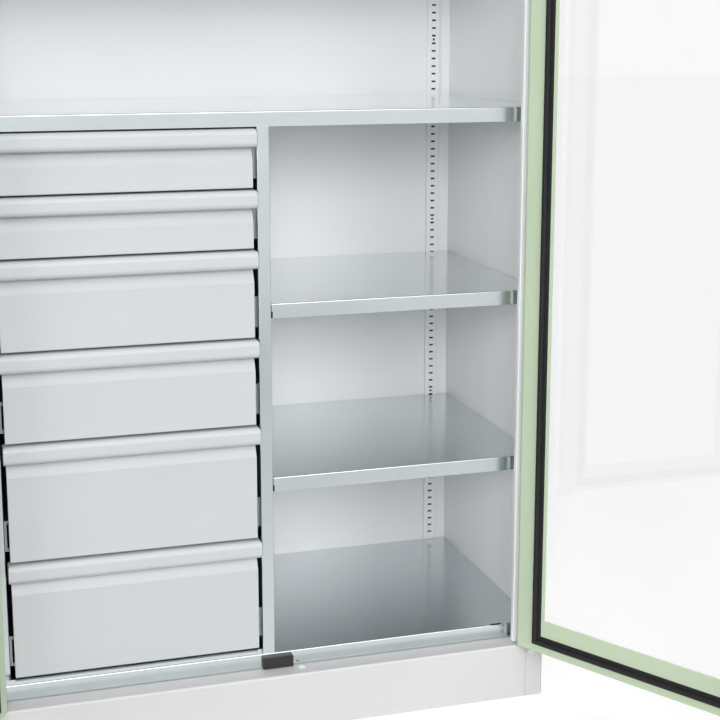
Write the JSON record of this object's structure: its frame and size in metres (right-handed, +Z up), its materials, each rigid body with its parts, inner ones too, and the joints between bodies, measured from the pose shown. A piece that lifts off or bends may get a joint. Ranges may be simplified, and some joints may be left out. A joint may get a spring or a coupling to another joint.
{
  "type": "storage cabinet",
  "caption": "Heavy-duty steel storage cabinet with clear-paned double doors, a column of drawers, galvanised shelves and a rod lock.",
  "frame": {"origin": "on the floor, under the middle of the plinth's front wall", "axes": "+Z up, +X to the right as seen from the front, the front faces -Y; the doors are stored open"},
  "size_m": [1.4559, 0.9743, 1.95],
  "materials": {
    "housing_paint": "light grey powder coat",
    "drawer_paint": "light grey powder coat",
    "door_paint": "pale green powder coat",
    "galvanised_steel": "galvanised sheet",
    "clip_steel": "black zinc",
    "runner_steel": "zinc plated",
    "bracket_steel": "light grey powder coat",
    "clear_acrylic": "clear",
    "seal_rubber": "matt black",
    "black_plastic": "fine moulded grain",
    "white_plastic": "smooth moulded",
    "lock_chrome": "polished"
  },
  "bodies": {
    "cabinet": {"plinth_front": "housing_paint", "plinth_frame": "housing_paint", "left_side_panel": "housing_paint", "right_side_panel": "housing_paint", "back_panel": "housing_paint", "roof_panel": "housing_paint", "shelf_rails": "housing_paint", "bottom_shelf": "galvanised_steel", "full_width_shelf": "galvanised_steel", "upper_shelf_1": "galvanised_steel", "upper_shelf_2": "galvanised_steel", "half_shelf_lower": "galvanised_steel", "half_shelf_upper": "galvanised_steel", "centre_partition": "galvanised_steel", "drawer_carrier": "galvanised_steel", "door_stop_block": "black_plastic", "rod_bushes": "white_plastic", "shelf_clips": "clip_steel", "cabinet_runners": "runner_steel", "hinge_brackets": "bracket_steel"},
    "right_door": {"right_door_frame": "door_paint", "right_door_pane": "clear_acrylic", "right_door_seal": "seal_rubber", "handle_plate": "black_plastic", "lock_case": "runner_steel", "rod_guides": "black_plastic"},
    "left_door": {"left_door_frame": "door_paint", "left_door_pane": "clear_acrylic", "left_door_seal": "seal_rubber", "closing_strip": "door_paint"},
    "handle": {"handle_lever": "black_plastic", "lock_cam": "runner_steel"},
    "key_cylinder": {"lock_cylinder": "lock_chrome"},
    "upper_rod": {"upper_lock_rod": "runner_steel"},
    "lower_rod": {"lower_lock_rod": "runner_steel"},
    "drawer_1": {"drawer_1_front": "drawer_paint", "drawer_1_box": "drawer_paint", "drawer_1_runners": "runner_steel"},
    "drawer_1_middle": {"drawer_1_middle_runners": "runner_steel"},
    "drawer_2": {"drawer_2_front": "drawer_paint", "drawer_2_box": "drawer_paint", "drawer_2_runners": "runner_steel"},
    "drawer_2_middle": {"drawer_2_middle_runners": "runner_steel"},
    "drawer_3": {"drawer_3_front": "drawer_paint", "drawer_3_box": "drawer_paint", "drawer_3_runners": "runner_steel"},
    "drawer_3_middle": {"drawer_3_middle_runners": "runner_steel"},
    "drawer_4": {"drawer_4_front": "drawer_paint", "drawer_4_box": "drawer_paint", "drawer_4_runners": "runner_steel"},
    "drawer_4_middle": {"drawer_4_middle_runners": "runner_steel"},
    "drawer_5": {"drawer_5_front": "drawer_paint", "drawer_5_box": "drawer_paint", "drawer_5_runners": "runner_steel"},
    "drawer_5_middle": {"drawer_5_middle_runners": "runner_steel"},
    "drawer_6": {"drawer_6_front": "drawer_paint", "drawer_6_box": "drawer_paint", "drawer_6_runners": "runner_steel"},
    "drawer_6_middle": {"drawer_6_middle_runners": "runner_steel"}
  },
  "joints": [
    {"name": "right_door_hinge", "type": "hinge", "parent": "cabinet", "child": "right_door", "pos_m": [0.477, -0.01325, 0.103], "axis": [0, 0, 1], "range_deg": [-120, 0]},
    {"name": "left_door_hinge", "type": "hinge", "parent": "cabinet", "child": "left_door", "pos_m": [-0.477, -0.01325, 0.103], "axis": [0, 0, -1], "range_deg": [-120, 0]},
    {"name": "handle_turn", "type": "hinge", "parent": "right_door", "child": "handle", "pos_m": [0.69493, -0.37471, 1.05], "axis": [-0.866, -0.5, 0], "range_deg": [0, 90]},
    {"name": "key_turn", "type": "hinge", "parent": "right_door", "child": "key_cylinder", "pos_m": [0.69493, -0.37471, 0.998], "axis": [-0.866, -0.5, 0], "range_deg": [0, 90]},
    {"name": "upper_rod_slide", "type": "slide", "parent": "right_door", "child": "upper_rod", "axis": [0, 0, 1], "range_m": [0, 0.02]},
    {"name": "lower_rod_slide", "type": "slide", "parent": "right_door", "child": "lower_rod", "axis": [0, 0, -1], "range_m": [0, 0.02]},
    {"name": "drawer_1_slide", "type": "slide", "parent": "cabinet", "child": "drawer_1", "axis": [0, -1, 0], "range_m": [0, 0.4]},
    {"name": "drawer_1_middle_slide", "type": "slide", "parent": "cabinet", "child": "drawer_1_middle", "axis": [0, -1, 0], "range_m": [0, 0.2]},
    {"name": "drawer_2_slide", "type": "slide", "parent": "cabinet", "child": "drawer_2", "axis": [0, -1, 0], "range_m": [0, 0.4]},
    {"name": "drawer_2_middle_slide", "type": "slide", "parent": "cabinet", "child": "drawer_2_middle", "axis": [0, -1, 0], "range_m": [0, 0.2]},
    {"name": "drawer_3_slide", "type": "slide", "parent": "cabinet", "child": "drawer_3", "axis": [0, -1, 0], "range_m": [0, 0.4]},
    {"name": "drawer_3_middle_slide", "type": "slide", "parent": "cabinet", "child": "drawer_3_middle", "axis": [0, -1, 0], "range_m": [0, 0.2]},
    {"name": "drawer_4_slide", "type": "slide", "parent": "cabinet", "child": "drawer_4", "axis": [0, -1, 0], "range_m": [0, 0.4]},
    {"name": "drawer_4_middle_slide", "type": "slide", "parent": "cabinet", "child": "drawer_4_middle", "axis": [0, -1, 0], "range_m": [0, 0.2]},
    {"name": "drawer_5_slide", "type": "slide", "parent": "cabinet", "child": "drawer_5", "axis": [0, -1, 0], "range_m": [0, 0.4]},
    {"name": "drawer_5_middle_slide", "type": "slide", "parent": "cabinet", "child": "drawer_5_middle", "axis": [0, -1, 0], "range_m": [0, 0.2]},
    {"name": "drawer_6_slide", "type": "slide", "parent": "cabinet", "child": "drawer_6", "axis": [0, -1, 0], "range_m": [0, 0.4]},
    {"name": "drawer_6_middle_slide", "type": "slide", "parent": "cabinet", "child": "drawer_6_middle", "axis": [0, -1, 0], "range_m": [0, 0.2]}
  ],
  "couplings": [
    {"joint": "upper_rod_slide", "follows": "handle_turn", "m_per_rad": 0.012731},
    {"joint": "lower_rod_slide", "follows": "handle_turn", "m_per_rad": 0.012731},
    {"joint": "drawer_1_middle_slide", "follows": "drawer_1_slide", "ratio": 0.5},
    {"joint": "drawer_2_middle_slide", "follows": "drawer_2_slide", "ratio": 0.5},
    {"joint": "drawer_3_middle_slide", "follows": "drawer_3_slide", "ratio": 0.5},
    {"joint": "drawer_4_middle_slide", "follows": "drawer_4_slide", "ratio": 0.5},
    {"joint": "drawer_5_middle_slide", "follows": "drawer_5_slide", "ratio": 0.5},
    {"joint": "drawer_6_middle_slide", "follows": "drawer_6_slide", "ratio": 0.5}
  ]
}
